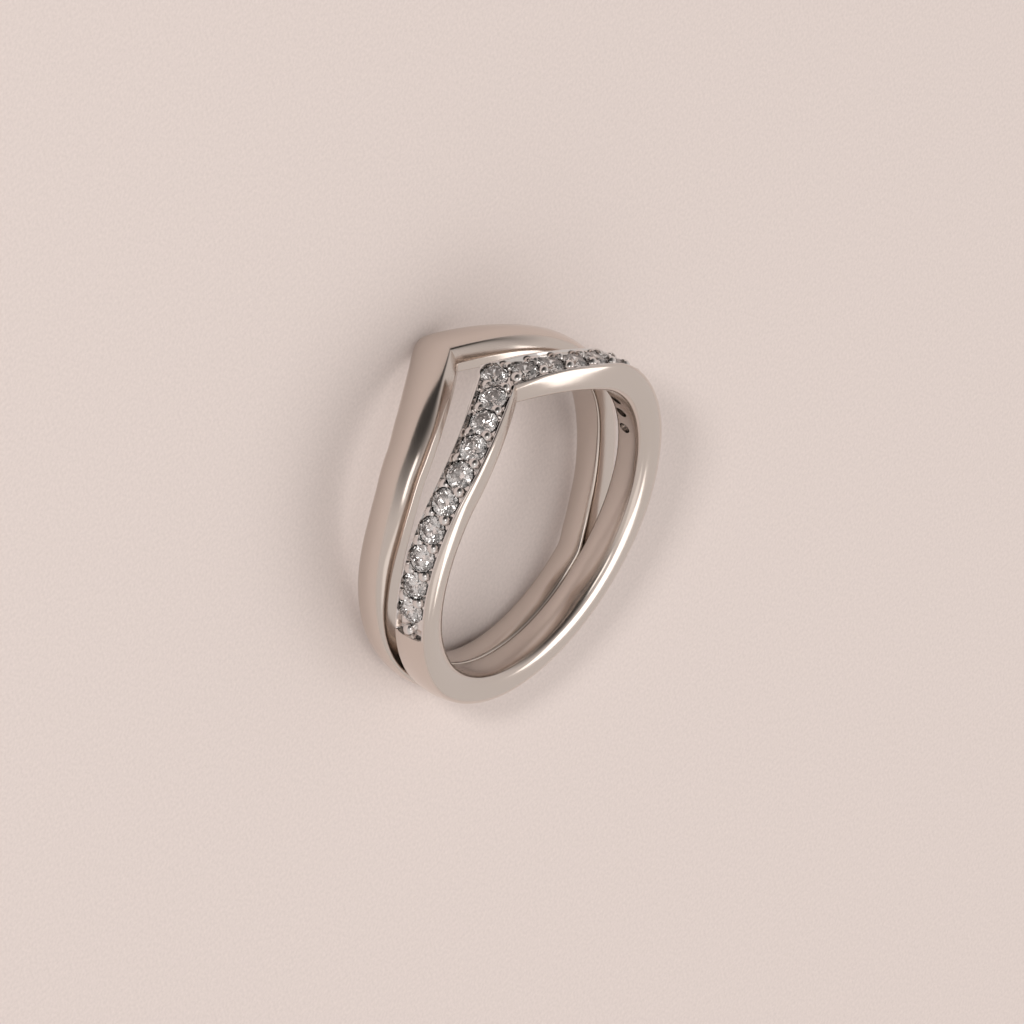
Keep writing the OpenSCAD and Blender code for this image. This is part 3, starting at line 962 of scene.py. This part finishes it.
# Soft lights round the ring: name, azimuth and height in degrees, distance, width and
# height in metres, glow, the brightness of the panel itself, and whether metal mirrors it
LIGHTS = [
    ("back_panel", 124, 60, 0.4, 0.34, 0.28, 1.6, True),
    ("side_panel", 40, 50, 0.45, 0.3, 0.25, 0.35, True),
    ("front_panel", -45, 55, 0.45, 0.2, 0.14, 1.6, True),
    ("key_lamp", -48, 27, 0.7, 0.09, 0.09, 90, False),
]
LIGHT_COLOUR = (1, 0.95, 0.915)
# The studio round them: its colour, its glow, and its dimmer side's direction and shares
STUDIO_COLOUR = (1, 0.93, 0.89)
STUDIO_GLOW = 0.7
DIM_SIDE = (-95, 14)
DIM_FROM = 0.2
DIM_SHARE = 0.08


# Half the side of the floor
FLOOR_HALF = 2.0


def direction(azimuth, height):
    """The unit vector of an azimuth and a height in degrees: X at none, Y at 90."""
    a, h = math.radians(azimuth), math.radians(height)
    return Vector((math.cos(h) * math.cos(a), math.cos(h) * math.sin(a), math.sin(h)))


def soft_light(name, azimuth, height, distance, wide, high, glow, mirrored):
    """A soft panel that faces the ring. Its power is glow times pi times its area."""
    away = direction(azimuth, height)
    data = bpy.data.lights.new(name, "AREA")
    data.shape = "RECTANGLE"
    data.size, data.size_y = wide, high
    data.energy = glow * math.pi * wide * high
    data.color = LIGHT_COLOUR
    light = bpy.data.objects.new(name, data)
    facing = away.to_track_quat("Z", "Y").to_matrix().to_4x4()
    light.matrix_world = Matrix.Translation(away * distance) @ facing
    light.visible_glossy = mirrored
    bpy.context.scene.collection.objects.link(light)
    return light


def studio_world():
    """Even light from all round, dimmer towards one side: the share of its glow
    falls smoothly with the cosine between a direction and the dim side."""
    world = bpy.data.worlds.new("studio")
    world.use_nodes = True
    tree = world.node_tree
    place = tree.nodes.new("ShaderNodeTexCoord")
    facing = tree.nodes.new("ShaderNodeVectorMath")
    facing.operation = "DOT_PRODUCT"
    facing.inputs[1].default_value = direction(*DIM_SIDE)
    tree.links.new(place.outputs["Generated"], facing.inputs[0])
    glow = tree.nodes.new("ShaderNodeMapRange")
    glow.interpolation_type = "SMOOTHSTEP"
    glow.inputs["From Min"].default_value = DIM_FROM
    glow.inputs["From Max"].default_value = 1
    glow.inputs["To Min"].default_value = STUDIO_GLOW
    glow.inputs["To Max"].default_value = STUDIO_GLOW * DIM_SHARE
    tree.links.new(facing.outputs["Value"], glow.inputs["Value"])
    background = tree.nodes["Background"]
    background.inputs["Color"].default_value = (*STUDIO_COLOUR, 1)
    tree.links.new(glow.outputs["Result"], background.inputs["Strength"])
    return world


class RING_OT_stage(bpy.types.Operator):
    """Build the floor, the lights and the camera"""

    bl_idname = "ring.stage"
    bl_label = "Stage"

    def execute(self, context):
        scene = context.scene
        h = FLOOR_HALF
        floor = new_mesh("floor", [(-h, -h, 0), (h, -h, 0), (h, h, 0), (-h, h, 0)], [(0, 1, 2, 3)])
        floor.data.materials.append(floor_material(scene.ring_finish))
        photo_camera()
        for light in LIGHTS:
            soft_light(*light)
        scene.world = studio_world()
        scene.view_settings.view_transform = "Standard"
        return {"FINISHED"}


class RING_PT_panel(bpy.types.Panel):
    """Lists the ring's pieces"""

    bl_label = "Chevron Ring"
    bl_idname = "RING_PT_panel"
    bl_space_type = "VIEW_3D"
    bl_region_type = "UI"
    bl_category = "Chevron Ring"

    def draw(self, context):
        for step in STEPS:
            self.layout.operator(step.bl_idname)


STEPS = (RING_OT_stage, RING_OT_band, RING_OT_stones)
CLASSES = (RingSizes, StoneSizes, RingFinish, *STEPS, RING_PT_panel)
GROUPS = {"ring_sizes": RingSizes, "stone_sizes": StoneSizes, "ring_finish": RingFinish}


def register():
    for cls in CLASSES:
        bpy.utils.register_class(cls)
    for name, group in GROUPS.items():
        setattr(bpy.types.Scene, name, bpy.props.PointerProperty(type=group))


def unregister():
    for name in GROUPS:
        delattr(bpy.types.Scene, name)
    for cls in reversed(CLASSES):
        bpy.utils.unregister_class(cls)


def main():
    """Builds the stage, the band and the stones."""
    register()
    bpy.ops.ring.stage()
    bpy.ops.ring.band()
    bpy.ops.ring.stones()
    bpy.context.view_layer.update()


if __name__ == "__main__":
    main()
